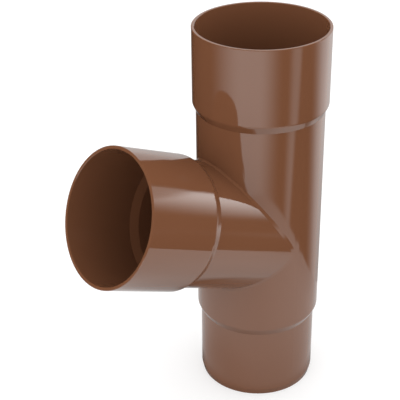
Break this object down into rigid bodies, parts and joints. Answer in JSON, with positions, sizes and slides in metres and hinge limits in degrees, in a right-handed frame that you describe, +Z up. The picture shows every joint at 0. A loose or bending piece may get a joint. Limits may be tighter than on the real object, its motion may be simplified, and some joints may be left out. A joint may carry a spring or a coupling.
{
  "type": "downpipe branch connector",
  "caption": "One-piece round downpipe branch: a straight run with a spigot below and a socket above, and a side branch with a socket rising at 67 degrees from the run.",
  "frame": {"origin": "on the run's axis at the foot of the spigot's shoulder, where the end of the pipe below stops", "axes": "+Z up along the run towards its socket, -Y towards the side that the branch rises on"},
  "size_m": [0.0844, 0.1727, 0.247],
  "materials": {
    "brown_plastic": "glossy moulded plastic, brown all through"
  },
  "bodies": {
    "root": {"branch_connector": "brown_plastic"}
  },
  "joints": []
}
